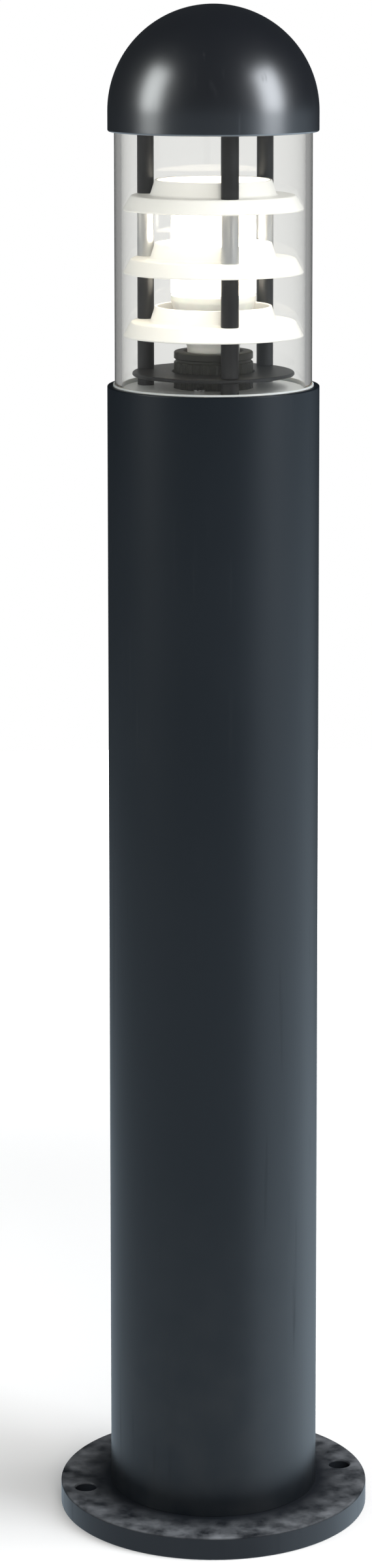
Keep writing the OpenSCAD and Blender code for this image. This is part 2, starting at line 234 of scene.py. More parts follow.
# A Math node; first and second are sockets or numbers
def calc(tree, operation, first, second=None, x=0, y=0, clamp=False):
    node = addNode(tree, "ShaderNodeMath", x, y, operation=operation, use_clamp=clamp)
    for i, value in enumerate((first, second)):
        if value is None:
            continue
        if isinstance(value, (int, float)):
            node.inputs[i].default_value = value
        else:
            tree.links.new(value, node.inputs[i])
    return node.outputs[0]


def noise(tree, scale, vector, detail=3.0, x=0, y=0):
    node = addNode(tree, "ShaderNodeTexNoise", x, y)
    node.inputs["Detail"].default_value = detail
    if isinstance(scale, (int, float)):
        node.inputs["Scale"].default_value = scale
    else:
        tree.links.new(scale, node.inputs["Scale"])
    tree.links.new(vector, node.inputs["Vector"])
    return node.outputs[0]


groupLook = {
    "fineGrain": 4.2,  # how much finer the small grains are than the peel
    "patchFrom": 0.3, "patchGain": 2.2,  # where the mask of dust and painted reflection breaks into patches, and how sharply
    "scuffSqueeze": (1.0, 1.0, 0.045), "scuffLean": (0.12, 0.07, 0.3),
    "scuffFrom": 0.78, "scuffGain": 7.0,
}


# Powder coat's orange peel: soft bumps with finer grains on them
def makePeelGroup():
    tree, start, end = newGroup("powderPeel", {"Scale": 700.0, "Grain": 0.3}, ["Height"])
    place = addNode(tree, "ShaderNodeTexCoord", -900, 260).outputs["Object"]
    broad = noise(tree, start.outputs["Scale"], place, 1.0, -600, 200)
    fineScale = calc(tree, "MULTIPLY", start.outputs["Scale"], groupLook["fineGrain"], -700, -100)
    fine = noise(tree, fineScale, place, 2.0, -500, -100)
    grains = calc(tree, "MULTIPLY", fine, start.outputs["Grain"], -250, -100)
    tree.links.new(calc(tree, "ADD", broad, grains, 100, 0), end.inputs["Height"])
    return tree


# Slow change over a surface, from 0 to 1, for colour and gloss that are never quite even
def makeDriftGroup():
    tree, start, end = newGroup("toneDrift", {"Scale": 9.0, "Contrast": 1.6}, ["Mask"])
    place = addNode(tree, "ShaderNodeTexCoord", -900, 260).outputs["Object"]
    field = noise(tree, start.outputs["Scale"], place, 4.0, -600, 200)
    centred = calc(tree, "SUBTRACT", field, 0.5, -350, 200)
    wide = calc(tree, "MULTIPLY", centred, start.outputs["Contrast"], -150, 200)
    tree.links.new(calc(tree, "ADD", wide, 0.5, 100, 200, clamp=True), end.inputs["Mask"])
    return tree


# The distance of a place from the vertical axis
def fromAxis(tree, split, x, y):
    xx = calc(tree, "MULTIPLY", split.outputs["X"], split.outputs["X"], x, y)
    yy = calc(tree, "MULTIPLY", split.outputs["Y"], split.outputs["Y"], x, y - 150)
    return calc(tree, "SQRT", calc(tree, "ADD", xx, yy, x + 150, y), None, x + 300, y)


# Dust and dried splashes, broken up by noise, and on the flange also painted reflection as pale patches:
# strongest at the given height and fading upwards, kept to surfaces that face up as Flat goes to 1, and
# to the ring outside the inner to outer radius, which leaves painted shade round the post's foot
def makeDustAndSheenGroup():
    tree, start, end = newGroup("dustAndSheenFilm", {
        "Ground": 0.0, "Reach": 0.05, "Scale": 60.0, "Amount": 0.5,
        "Flat": 0.0, "Inner": -1.0, "Outer": 0.0,
    }, ["Mask"])
    place = addNode(tree, "ShaderNodeTexCoord", -1300, 260).outputs["Object"]
    split = addNode(tree, "ShaderNodeSeparateXYZ", -1100, 400)
    tree.links.new(place, split.inputs[0])
    above = calc(tree, "SUBTRACT", split.outputs["Z"], start.outputs["Ground"], -700, 400)
    share = calc(tree, "DIVIDE", above, start.outputs["Reach"], -550, 400)
    low = calc(tree, "SUBTRACT", 1.0, share, -400, 400, clamp=True)
    field = noise(tree, start.outputs["Scale"], place, 6.0, -600, 100)
    over = calc(tree, "SUBTRACT", field, groupLook["patchFrom"], -300, 100)
    patchy = calc(tree, "MULTIPLY", over, groupLook["patchGain"], -150, 100, clamp=True)
    facing = addNode(tree, "ShaderNodeNewGeometry", -1100, -100)
    up = addNode(tree, "ShaderNodeSeparateXYZ", -900, -100)
    tree.links.new(facing.outputs["Normal"], up.inputs[0])
    missing = calc(tree, "SUBTRACT", 1.0, up.outputs["Z"], -700, -100, clamp=True)
    lost = calc(tree, "MULTIPLY", missing, start.outputs["Flat"], -500, -100)
    flat = calc(tree, "SUBTRACT", 1.0, lost, -300, -100)
    # No dust inside the inner radius: on the flange this keeps a dark band round the post's foot as
    # painted shade
    away = fromAxis(tree, split, -900, -300)
    past = calc(tree, "SUBTRACT", away, start.outputs["Inner"], -450, -350)
    footShadeWidth = calc(tree, "SUBTRACT", start.outputs["Outer"], start.outputs["Inner"], -450, -500)
    ring = calc(tree, "DIVIDE", past, footShadeWidth, -300, -400, clamp=True)
    lowPatches = calc(tree, "MULTIPLY", low, patchy, 50, 200)
    kept = calc(tree, "MULTIPLY", flat, ring, 50, -200)
    both = calc(tree, "MULTIPLY", lowPatches, kept, 200, 0)
    tree.links.new(calc(tree, "MULTIPLY", both, start.outputs["Amount"], 400, 0), end.inputs["Mask"])
    return tree


# Fine rings left by a spinning or turning tool, in radius and in height
def makeTurningGroup():
    tree, start, end = newGroup("turningLines", {"Scale": 900.0, "Wander": 0.02}, ["Lines"])
    place = addNode(tree, "ShaderNodeTexCoord", -1300, 260).outputs["Object"]
    split = addNode(tree, "ShaderNodeSeparateXYZ", -1100, 260)
    tree.links.new(place, split.inputs[0])
    away = fromAxis(tree, split, -950, 300)
    drift = calc(tree, "MULTIPLY", split.outputs["X"], start.outputs["Wander"], -700, 0)
    spot = addNode(tree, "ShaderNodeCombineXYZ", -500, 200)
    tree.links.new(away, spot.inputs[0])
    tree.links.new(split.outputs["Z"], spot.inputs[1])
    tree.links.new(drift, spot.inputs[2])
    lines = noise(tree, start.outputs["Scale"], spot.outputs[0], 2.0, -300, 200)
    tree.links.new(lines, end.inputs["Lines"])
    return tree


# Sparse hairline scuffs, mostly upright, from handling and cleaning
def makeScuffGroup():
    tree, start, end = newGroup("hairScuffs", {"Scale": 260.0, "Cover": 0.3}, ["Mask"])
    place = addNode(tree, "ShaderNodeTexCoord", -1100, 260).outputs["Object"]
    squeeze = addNode(tree, "ShaderNodeMapping", -900, 260)
    squeeze.inputs["Scale"].default_value = groupLook["scuffSqueeze"]
    squeeze.inputs["Rotation"].default_value = groupLook["scuffLean"]
    tree.links.new(place, squeeze.inputs["Vector"])
    field = noise(tree, start.outputs["Scale"], squeeze.outputs[0], 3.0, -600, 260)
    edge = calc(tree, "SUBTRACT", groupLook["scuffFrom"], start.outputs["Cover"], -600, 0)
    over = calc(tree, "SUBTRACT", field, edge, -300, 200)
    scuffs = calc(tree, "MULTIPLY", over, groupLook["scuffGain"], 0, 200, clamp=True)
    tree.links.new(scuffs, end.inputs["Mask"])
    return tree


peelGroup = makePeelGroup()
driftGroup = makeDriftGroup()
dustAndSheenGroup = makeDustAndSheenGroup()
turningGroup = makeTurningGroup()
scuffGroup = makeScuffGroup()
print("groups ready")


def newMaterial(name, metallic=0.0, roughness=0.5, **sockets):
    material = bpy.data.materials.new(name)
    material.use_nodes = True
    tree = material.node_tree
    shader = tree.nodes["Principled BSDF"]
    shader.location = (300, 0)
    tree.nodes["Material Output"].location = (650, 0)
    shader.inputs["Metallic"].default_value = metallic
    shader.inputs["Roughness"].default_value = roughness
    for label, value in sockets.items():
        shader.inputs[label.replace("_", " ")].default_value = value
    return material, tree, shader


def useGroup(tree, group, x, y, **values):
    node = addNode(tree, "ShaderNodeGroup", x, y, node_tree=group)
    for label, value in values.items():
        node.inputs[label.replace("_", " ")].default_value = value
    return node.outputs[0]


# Mixes two colours; first may be a colour or a socket
def blendColours(tree, mask, first, second, x=0, y=0):
    node = addNode(tree, "ShaderNodeMix", x, y, data_type="RGBA")
    tree.links.new(mask, node.inputs[0])
    for socket, value in ((node.inputs[6], first), (node.inputs[7], second)):
        if isinstance(value, (tuple, list)):
            socket.default_value = (*value, 1.0)
        else:
            tree.links.new(value, socket)
    return node.outputs[2]


# A value from low to high as mask goes from 0 to 1
def between(tree, mask, low, high, x=0, y=0):
    node = addNode(tree, "ShaderNodeMapRange", x, y)
    tree.links.new(mask, node.inputs["Value"])
    node.inputs["To Min"].default_value = low
    node.inputs["To Max"].default_value = high
    return node.outputs[0]


# A smooth step from low to high as the value goes from start to end
def rampUp(tree, value, start, end, low, high, x, y):
    node = addNode(tree, "ShaderNodeMapRange", x, y, interpolation_type="SMOOTHSTEP")
    tree.links.new(value, node.inputs["Value"])
    for label, number in (("From Min", start), ("From Max", end), ("To Min", low), ("To Max", high)):
        node.inputs[label].default_value = number
    return node.outputs[0]


bumpDepth = {"coat": 0.06 * mm, "tool": 0.03 * mm, "mould": 0.05 * mm, "ripple": 0.2 * mm}


def addBump(tree, shader, height, strength, distance, x=0, y=-300):
    node = addNode(tree, "ShaderNodeBump", x, y)
    node.inputs["Strength"].default_value = strength
    node.inputs["Distance"].default_value = distance
    tree.links.new(height, node.inputs["Height"])
    tree.links.new(node.outputs[0], shader.inputs["Normal"])


# Satin powder coat over metal: peel, slow tone drift, hairline scuffs, dust towards the ground; on the
# flange this mask is also painted reflection and painted shade
def powderCoat(name, look):
    material, tree, shader = newMaterial(name)
    drift = useGroup(tree, driftGroup, -900, 300, Scale=look["driftScale"])
    scuffs = useGroup(tree, scuffGroup, -900, 100, Scale=look["scuffScale"], Cover=look["scuffCover"])
    # Lighter where this mask is: dust, and on the flange also painted reflection patches and a painted
    # shade band by the post
    dustAndSheen = useGroup(
        tree, dustAndSheenGroup, -900, -100, Amount=look["dustAndSheen"], Scale=look["dustAndSheenScale"],
        Ground=look["dustAndSheenFrom"], Reach=look["dustAndSheenReach"],
        Flat=look["dustAndSheenFlat"], Inner=look["footShadeInner"], Outer=look["footShadeOuter"],
    )
    paint = blendColours(tree, drift, look["dark"], look["light"], -600, 300)
    paintWithDustAndSheen = blendColours(tree, dustAndSheen, paint, look["dustAndSheenColour"], -350, 300)
    tree.links.new(paintWithDustAndSheen, shader.inputs["Base Color"])
    gloss = between(tree, drift, look["gloss"][0], look["gloss"][1], -600, 0)
    worn = calc(tree, "MULTIPLY", scuffs, look["scuffRough"], -600, -150)
    dull = calc(tree, "MULTIPLY", dustAndSheen, look["dustAndSheenRough"], -600, -300)
    clean = calc(tree, "ADD", gloss, worn, -350, -50)
    rough = calc(tree, "ADD", clean, dull, -150, -50, clamp=True)
    tree.links.new(rough, shader.inputs["Roughness"])
    shader.inputs["IOR"].default_value = look["ior"]
    shader.inputs["Specular IOR Level"].default_value = look["sheen"]
    peel = useGroup(tree, peelGroup, -600, -500, Scale=look["peelScale"], Grain=look["grain"])
    addBump(tree, shader, peel, look["peel"], bumpDepth["coat"])
    return material


toolShare = 0.6  # how much of bare metal's uneven gloss comes from its tool rings


# Bare metal with fine tool rings and slow gloss drift
def turnedMetal(name, look):
    material, tree, shader = newMaterial(name, metallic=1.0)
    lines = useGroup(tree, turningGroup, -900, 200, Scale=look["lineScale"])
    drift = useGroup(tree, driftGroup, -900, 0, Scale=look["driftScale"])
    tone = blendColours(tree, drift, look["dark"], look["light"], -500, 300)
    tree.links.new(tone, shader.inputs["Base Color"])
    fromLines = calc(tree, "MULTIPLY", lines, toolShare, -650, 0)
    fromDrift = calc(tree, "MULTIPLY", drift, 1 - toolShare, -650, -150)
    uneven = calc(tree, "ADD", fromLines, fromDrift, -450, -50)
    gloss = between(tree, uneven, look["gloss"][0], look["gloss"][1], -250, -50)
    tree.links.new(gloss, shader.inputs["Roughness"])
    addBump(tree, shader, lines, look["lineDepth"], bumpDepth["tool"])
    return material


mouldGrain = 0.6


# Moulded plastic or rubber: even colour with a little drift, and a faint mould texture
def mouldedPlastic(name, look, **sockets):
    material, tree, shader = newMaterial(name, **sockets)
    drift = useGroup(tree, driftGroup, -900, 300, Scale=look["driftScale"])
    tone = blendColours(tree, drift, look["dark"], look["light"], -500, 300)
    tree.links.new(tone, shader.inputs["Base Color"])
    gloss = between(tree, drift, look["gloss"][0], look["gloss"][1], -500, 0)
    tree.links.new(gloss, shader.inputs["Roughness"])
    grain = useGroup(tree, peelGroup, -600, -400, Scale=look["grainScale"], Grain=mouldGrain)
    addBump(tree, shader, grain, look["grain"], bumpDepth["mould"])
    return material


coatCommon = {
    "ior": 1.5, "sheen": 0.5, "driftScale": 7.0, "peelScale": 620.0, "grain": 0.35,
    "scuffScale": 240.0, "scuffCover": 0.16, "scuffRough": 0.12,
    "dustAndSheen": 0.0, "dustAndSheenColour": (0.16, 0.155, 0.145), "dustAndSheenScale": 55.0, "dustAndSheenRough": 0.5,
    "dustAndSheenFrom": 0.0, "dustAndSheenReach": 0.01, "dustAndSheenFlat": 0.0, "footShadeInner": -1.0, "footShadeOuter": 0.0,
}
postCoat = powderCoat("postCoat", {
    **coatCommon, "dark": (0.0030, 0.0052, 0.0080), "light": (0.0050, 0.0076, 0.0110),
    "gloss": (0.36, 0.42), "peel": 0.10, "dustAndSheen": 0.06, "dustAndSheenReach": 0.2,
})
flangeCoat = powderCoat("flangeCoat", {
    **coatCommon, "dark": (0.008, 0.010, 0.013), "light": (0.014, 0.016, 0.020),
    "gloss": (0.26, 0.40), "sheen": 0.3, "peel": 0.12, "driftScale": 30.0,
    # The pale patches on the flange top are painted reflection as well as dust
    "dustAndSheen": 0.8, "dustAndSheenColour": (0.20, 0.212, 0.230), "dustAndSheenScale": 105.0,
    # The flange is kept bare and dark inside 57 to 76 mm as painted shade round the post's foot
    "dustAndSheenFrom": 0.012, "dustAndSheenReach": 0.01, "dustAndSheenFlat": 1.0, "footShadeInner": 0.057, "footShadeOuter": 0.076,
})
capCoat = powderCoat("capCoat", {
    **coatCommon, "dark": (0.0030, 0.0036, 0.0060), "light": (0.0050, 0.0060, 0.0088),
    "gloss": (0.28, 0.33), "peel": 0.05, "ior": 2.0, "sheen": 1.0,
})
seatPaint = powderCoat("seatPaint", {
    **coatCommon, "dark": (0.66, 0.67, 0.66), "light": (0.76, 0.77, 0.76),
    "gloss": (0.3, 0.4), "peel": 0.15, "driftScale": 30.0,
})
louvreMetal = powderCoat("louvreMetal", {
    **coatCommon, "dark": (0.88, 0.87, 0.84), "light": (0.93, 0.92, 0.89),
    "gloss": (0.28, 0.36), "peel": 0.06, "driftScale": 30.0,
})
ringMetal = turnedMetal("ringMetal", {
    "dark": (0.60, 0.61, 0.62), "light": (0.72, 0.73, 0.74), "driftScale": 40.0,
    "lineScale": 1200.0, "gloss": (0.3, 0.45), "lineDepth": 0.3,
})
brightSteel = turnedMetal("brightSteel", {
    "dark": (0.50, 0.51, 0.52), "light": (0.62, 0.63, 0.64), "driftScale": 120.0,
    "lineScale": 2500.0, "gloss": (0.22, 0.36), "lineDepth": 0.2,
})
darkSteel = turnedMetal("darkSteel", {
    "dark": (0.035, 0.036, 0.038), "light": (0.060, 0.061, 0.063), "driftScale": 60.0,
    "lineScale": 1800.0, "gloss": (0.32, 0.48), "lineDepth": 0.2,
})
zincSheet = turnedMetal("zincSheet", {
    "dark": (0.50, 0.52, 0.55), "light": (0.66, 0.68, 0.70), "driftScale": 160.0,
    "lineScale": 300.0, "gloss": (0.3, 0.5), "lineDepth": 0.1,
})
brass = turnedMetal("brass", {
    "dark": (0.62, 0.42, 0.16), "light": (0.76, 0.55, 0.24), "driftScale": 90.0,
    "lineScale": 1500.0, "gloss": (0.24, 0.38), "lineDepth": 0.2,
})
nickel = turnedMetal("nickel", {
    "dark": (0.60, 0.59, 0.56), "light": (0.74, 0.73, 0.70), "driftScale": 80.0,
    "lineScale": 1500.0, "gloss": (0.14, 0.26), "lineDepth": 0.15,
})
paleSilicone = mouldedPlastic("paleSilicone", {
    "dark": (0.62, 0.63, 0.60), "light": (0.72, 0.73, 0.70), "driftScale": 30.0,
    "gloss": (0.42, 0.52), "grainScale": 1400.0, "grain": 0.15,
}, Subsurface_Weight=0.15)
blackRubber = mouldedPlastic("blackRubber", {
    "dark": (0.012, 0.012, 0.013), "light": (0.020, 0.020, 0.021), "driftScale": 50.0,
    "gloss": (0.5, 0.62), "grainScale": 1200.0, "grain": 0.25,
})
holderPlastic = mouldedPlastic("holderPlastic", {
    "dark": (0.012, 0.013, 0.010), "light": (0.020, 0.021, 0.016), "driftScale": 50.0,
    "gloss": (0.3, 0.42), "grainScale": 1500.0, "grain": 0.2,
})
terminalPlastic = mouldedPlastic("terminalPlastic", {
    "dark": (0.62, 0.60, 0.52), "light": (0.72, 0.70, 0.62), "driftScale": 60.0,
    "gloss": (0.35, 0.45), "grainScale": 1500.0, "grain": 0.15,
})
lampPlastic = mouldedPlastic("lampPlastic", {
    "dark": (0.74, 0.74, 0.72), "light": (0.82, 0.82, 0.80), "driftScale": 40.0,
    "gloss": (0.28, 0.36), "grainScale": 1600.0, "grain": 0.1,
}, Subsurface_Weight=0.1)
lampBlack = mouldedPlastic("lampBlack", {
    "dark": (0.010, 0.010, 0.011), "light": (0.016, 0.016, 0.017), "driftScale": 60.0,
    "gloss": (0.12, 0.2), "grainScale": 1200.0, "grain": 0.1,
})
boardWhite = mouldedPlastic("boardWhite", {
    "dark": (0.70, 0.72, 0.70), "light": (0.80, 0.82, 0.80), "driftScale": 60.0,
    "gloss": (0.3, 0.4), "grainScale": 1500.0, "grain": 0.1,
})


def wireCoat(name, colour):
    return mouldedPlastic(name, {
        "dark": tuple(c * 0.85 for c in colour), "light": colour, "driftScale": 40.0,
        "gloss": (0.35, 0.45), "grainScale": 1500.0, "grain": 0.1,
    })


brownWire = wireCoat("brownWire", (0.11, 0.045, 0.018))
blueWire = wireCoat("blueWire", (0.03, 0.11, 0.38))
greenWire = wireCoat("greenWire", (0.28, 0.42, 0.04))


# Opal envelope, lit from inside: softer at the foot than above it
def makeOpal(look, foot):
    material, tree, shader = newMaterial(
        "opalLit", roughness=look["roughness"], Emission_Strength=look["strength"])
    place = addNode(tree, "ShaderNodeTexCoord", -1100, 200).outputs["Object"]
    split = addNode(tree, "ShaderNodeSeparateXYZ", -900, 200)
    tree.links.new(place, split.inputs[0])
    rise = rampUp(tree, split.outputs["Z"], foot, foot + look["fade"], 0.0, 1.0, -700, 200)
    cloud = useGroup(tree, driftGroup, -700, -100, Scale=look["cloudScale"], Contrast=0.5)
    glow = blendColours(tree, rise, look["footGlow"], look["glow"], -400, 200)
    milk = blendColours(tree, cloud, look["dark"], look["light"], -400, -100)
    tree.links.new(glow, shader.inputs["Emission Color"])
    tree.links.new(milk, shader.inputs["Base Color"])
    return material


# Clear tube glass. Light for shadows passes straight through it
def makeGlass(look):
    material, tree, shader = newMaterial(
        "clearGlass", roughness=look["roughness"], IOR=look["ior"], Transmission_Weight=1.0,
        Base_Color=(*look["tint"], 1.0),
    )
    output = tree.nodes["Material Output"]
    body = addNode(tree, "ShaderNodeVolumeAbsorption", 300, -700)
    body.inputs["Color"].default_value = (*look["bodyColour"], 1.0)
    body.inputs["Density"].default_value = look["bodyDensity"]
    tree.links.new(body.outputs[0], output.inputs["Volume"])
    film = useGroup(tree, driftGroup, -700, -200, Scale=look["filmScale"], Contrast=1.4)
    dull = between(tree, film, look["roughness"], look["filmRough"], -400, -200)
    tree.links.new(dull, shader.inputs["Roughness"])
    ripple = useGroup(tree, driftGroup, -700, -450, Scale=look["rippleScale"], Contrast=1.0)
    addBump(tree, shader, ripple, look["ripple"], bumpDepth["ripple"], 0, -450)
    clear = addNode(tree, "ShaderNodeBsdfTransparent", 300, -500)
    clear.inputs[0].default_value = (*look["shadowTint"], 1.0)
    ray = addNode(tree, "ShaderNodeLightPath", 100, 400)
    pick = addNode(tree, "ShaderNodeMixShader", 520, 120)
    tree.links.new(ray.outputs["Is Shadow Ray"], pick.inputs[0])
    tree.links.new(shader.outputs[0], pick.inputs[1])
    tree.links.new(clear.outputs[0], pick.inputs[2])
    tree.links.new(pick.outputs[0], output.inputs["Surface"])
    return material


clearGlass = makeGlass({
    "tint": (0.98, 0.98, 0.97), "shadowTint": (0.95, 0.95, 0.94),
    "bodyColour": (0.37, 0.38, 0.34), "bodyDensity": 24.0, "ior": 1.47,
    "roughness": 0.0, "filmRough": 0.035, "filmScale": 30.0, "rippleScale": 26.0, "ripple": 0.05,
})
print("materials ready")


flangeLook = {
    "edge": 1.1 * mm, "footEdge": 0.5 * mm, "bore": 20 * mm, "boreEdge": 0.4 * mm,
    "spigotR": 51.8 * mm, "spigotBore": 42 * mm, "spigotEdge": 0.8 * mm,
    "holeR": 5.5 * mm, "holeFlare": 0.7 * mm, "holePitch": 140 * mm,
}


# A cutter for a hole whose upper edge is broken by a small flare
def throughHole(name, holeR, flare, top, at):
    return lathe(name, roundedLoop([
        (0, -5 * mm), (holeR, -5 * mm), (holeR, top - flare, 1.2 * flare),
        (holeR + flare * 2, top + flare), (0, top + flare),
    ]), 48, at)


# A cutter for a screw hole that runs straight out from the axis
def radialHole(name, holeR, fromR, toR, angleDeg, z):
    drill = lathe(name, [(0, fromR), (holeR, fromR), (holeR, toR), (0, toR)], 40)
    return turned(drill, angleDeg, z)


# One cutter for each of a node's set screws
def screwHoles(node, extra, fromR, toR):
    low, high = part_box(node)
    z = (low.z + high.z) / 2
    holeR = (high.z - low.z) / 2 + extra
    return [radialHole(f"drill_{node}_{a}", holeR, fromR, toR, a, z) for a in screwAngles]


def buildFlange():
    look = flangeLook
    outer = radius("base_flange")
    top = span("post_tube")[0]
    spigotTop = span("base_flange")[1]
    disc = lathe("flangeDisc", roundedLoop([
        (look["bore"], 0, look["boreEdge"]), (outer, 0, look["footEdge"]),
        (outer, top, look["edge"]), (look["spigotR"], top),
        (look["spigotR"], spigotTop, look["spigotEdge"]),
        (look["spigotBore"], spigotTop, look["spigotEdge"]),
        (look["spigotBore"], top), (look["bore"], top, look["boreEdge"]),
    ]), 220)
    holes = []
    for side in (-1, 1):
        at = (side * look["holePitch"] / 2, 0, 0)
        holes.append(throughHole(f"anchor_{side}", look["holeR"], look["holeFlare"], top, at))
    cut(disc, holes + screwHoles("base_set_screws", 0.05 * mm, 40 * mm, 53 * mm))
    return settle(disc, flangeCoat, "post", "powder_coat_flange", "base_flange")


postLook = {"bore": 52 * mm, "topEdge": 0.7 * mm, "innerEdge": 0.3 * mm, "footEdge": 0.25 * mm}


def buildPost():
    low, high = span("post_tube")
    outer = radius("post_tube")
    bore = postLook["bore"]
    tube = lathe("postTube", roundedLoop([
        (bore, low, postLook["footEdge"]), (outer, low, postLook["footEdge"]),
        (outer, high, postLook["topEdge"]), (bore, high, postLook["innerEdge"]),
    ]), 220)
    drills = screwHoles("base_set_screws", 0.2 * mm, 48 * mm, 60 * mm)
    drills += screwHoles("seat_set_screws", 0.2 * mm, 48 * mm, 60 * mm)
    cut(tube, drills)
    return settle(tube, postCoat, "post", "powder_coat_post", "post_tube")


buildFlange()
buildPost()
print("base and post ready")


# The outer and inner halves of a domed shell's outline, from foot to tip and back
def domeHalves(high, outer, wall, steps):
    centre = (0, high - outer)
    dome = arc(centre, outer, 0, 90, steps)
    hollow = arc(centre, outer - wall, 90, 0, steps)
    dome[-1].x = 0
    hollow[0].x = 0
    return dome + hollow


capLook = {
    "rimEdge": 1.0 * mm, "rimInnerEdge": 0.5 * mm, "wall": 5.5 * mm,
    "skirtBore": 52 * mm, "shoulder": 10 * mm, "domeSteps": 40,
}


def buildCap():
    low, high = span("cap")
    outer = radius("cap")
    shoulder = low + capLook["shoulder"]
    rim = roundedLoop([
        (capLook["skirtBore"], shoulder), (capLook["skirtBore"], low, capLook["rimInnerEdge"]),
        (outer, low, capLook["rimEdge"]), (outer, high - outer - 2 * mm),
    ])
    dome = domeHalves(high, outer, capLook["wall"], capLook["domeSteps"])
    shell = lathe("capDome", rim + dome + [Vector((outer - capLook["wall"], shoulder))], 220)
    cut(shell, screwHoles("cap_set_screws", 0.05 * mm, 44 * mm, 60 * mm))
    return settle(shell, capCoat, "cap", "powder_coat_cap", "cap")


glassLook = {"wall": 3.5 * mm, "edge": 0.9 * mm}


def buildGlass():
    low, high = span("glass_tube")
    outer = radius("glass_tube")
    inner = outer - glassLook["wall"]
    edge = glassLook["edge"]
    tube = lathe("glassCylinder", roundedLoop([
        (inner, low, edge), (outer, low, edge), (outer, high, edge), (inner, high, edge),
    ]), 220)
    return settle(tube, clearGlass, "glass", "clear_glass", "glass_tube")


buildCap()
buildGlass()
print("cap and glass ready")


cageLook = {"rodPitchR": 37.3 * mm, "rodHoleR": 2.6 * mm}


# One copy of a turned piece on each tie rod; make(name, at) builds it
def onRods(make):
    pieces = []
    for angle in rodAngles:
        turn = math.radians(angle)
        pitchR = cageLook["rodPitchR"]
        pieces.append(make(f"part_{angle}", (pitchR * math.cos(turn), pitchR * math.sin(turn), 0)))
    return pieces


# A cutter for the three rods' holes, between two heights
def rodHoles(low, high):
    holeR = cageLook["rodHoleR"]
    outline = [(0, low), (holeR, low), (holeR, high), (0, high)]
    return onRods(lambda name, at: lathe(name, outline, 24, at))


louvreLook = {
    "inner": 29 * mm, "lipHeight": 9 * mm, "lipFoot": 3.7 * mm, "sheet": 1.2 * mm,
    "skirt": 4 * mm, "hem": 0.75 * mm, "bend": 1.6 * mm,
}


# A spun ring with a rolled hem on its outer edge
def buildLouvre(node):
    low, high = span(node)
    outer = radius(node)
    inner = louvreLook["inner"]
    sheet = louvreLook["sheet"]
    hem = louvreLook["hem"]
    bend = louvreLook["bend"]
    flat = high - louvreLook["lipHeight"]
    lipFoot = inner + louvreLook["lipFoot"]
    skirt = outer - louvreLook["skirt"]
    upper = [
        (inner, high, 0.3 * mm), (inner + sheet, high, 0.3 * mm),
        (lipFoot, flat + sheet, bend), (skirt, flat + sheet, bend),
    ]
    roll = [tuple(p) for p in arc((outer - hem, low + hem), hem, 60, -150, 12)]
    lower = [(skirt - sheet / 2, flat, bend * 0.6), (lipFoot - 0.9 * mm, flat, bend * 0.6)]
    ring = lathe(node + "Ring", roundedLoop(upper + roll + lower), 180)
    cut(ring, rodHoles(flat - 2 * mm, flat + 3 * mm))
    return settle(ring, louvreMetal, "post", "louvre_metal", node)


spacerLook = {"outer": 4.5 * mm, "bore": 2.6 * mm, "edge": 0.35 * mm, "boreEdge": 0.15 * mm}


def buildSpacers(node, material, slotName):
    low, high = span(node)
    look = spacerLook
    outline = roundedLoop([
        (look["bore"], low, look["boreEdge"]), (look["outer"], low, look["edge"]),
        (look["outer"], high, look["edge"]), (look["bore"], high, look["boreEdge"]),
    ], 3)
    tubes = joined(node + "Tubes", onRods(lambda name, at: lathe(name, outline, 48, at)))
    return settle(tubes, material, "post", slotName, node)


rodLook = {
    "r": 2.5 * mm, "tipShare": 0.86, "threaded": 13 * mm,
    "pitch": 0.8 * mm, "depth": 0.22 * mm, "rowStep": 0.16 * mm,
}


# A tie rod with a rolled thread on its upper end, which shows when the cap is off
def buildRod(node):
    low, high = span(node)
    centre = (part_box(node)[0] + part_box(node)[1]) / 2
    rodR = rodLook["r"]
    start = high - rodLook["threaded"]
    rows = int(rodLook["threaded"] / rodLook["rowStep"])
    side = [(rodR, start + (high - start) * k / rows) for k in range(rows)]
    outline = [(0, low), (rodR, low)] + side + [(rodR * rodLook["tipShare"], high), (0, high)]

    def thread(r, z, angle):
        if z < start or r < rodR * 0.9:
            return r
        ease = min(1.0, (z - start) / (2 * rodLook["pitch"]))
        wave = 0.5 - 0.5 * math.cos(2 * math.pi * z / rodLook["pitch"] - angle)
        return r - rodLook["depth"] * 2 * ease * wave

    rod = lathe(node + "Stud", outline, 32, (centre.x, centre.y, 0), thread)
    return settle(rod, darkSteel, "post", "dark_steel", node, angleDeg=60)


plateLook = {"inner": 21.5 * mm, "edge": 0.9 * mm, "innerEdgeLow": 0.4 * mm, "innerEdge": 0.5 * mm}


# The flat plate under the louvres, with a rounded outer edge
def buildPlate():
    low, high = span("cage_plate")
    outer = radius("cage_plate")
    inner = plateLook["inner"]
    plate = lathe("cagePlateDisc", roundedLoop([
        (inner, low, plateLook["innerEdgeLow"]), (outer, low, plateLook["edge"]),
        (outer, high, plateLook["edge"]), (inner, high, plateLook["innerEdge"]),
    ]), 180)
    cut(plate, rodHoles(low - mm, high + mm))
    return settle(plate, darkSteel, "post", "dark_steel", "cage_plate")


nutLook = {"cornerR": 4.62 * mm, "bore": 2.3 * mm, "chamfer": 0.55 * mm}


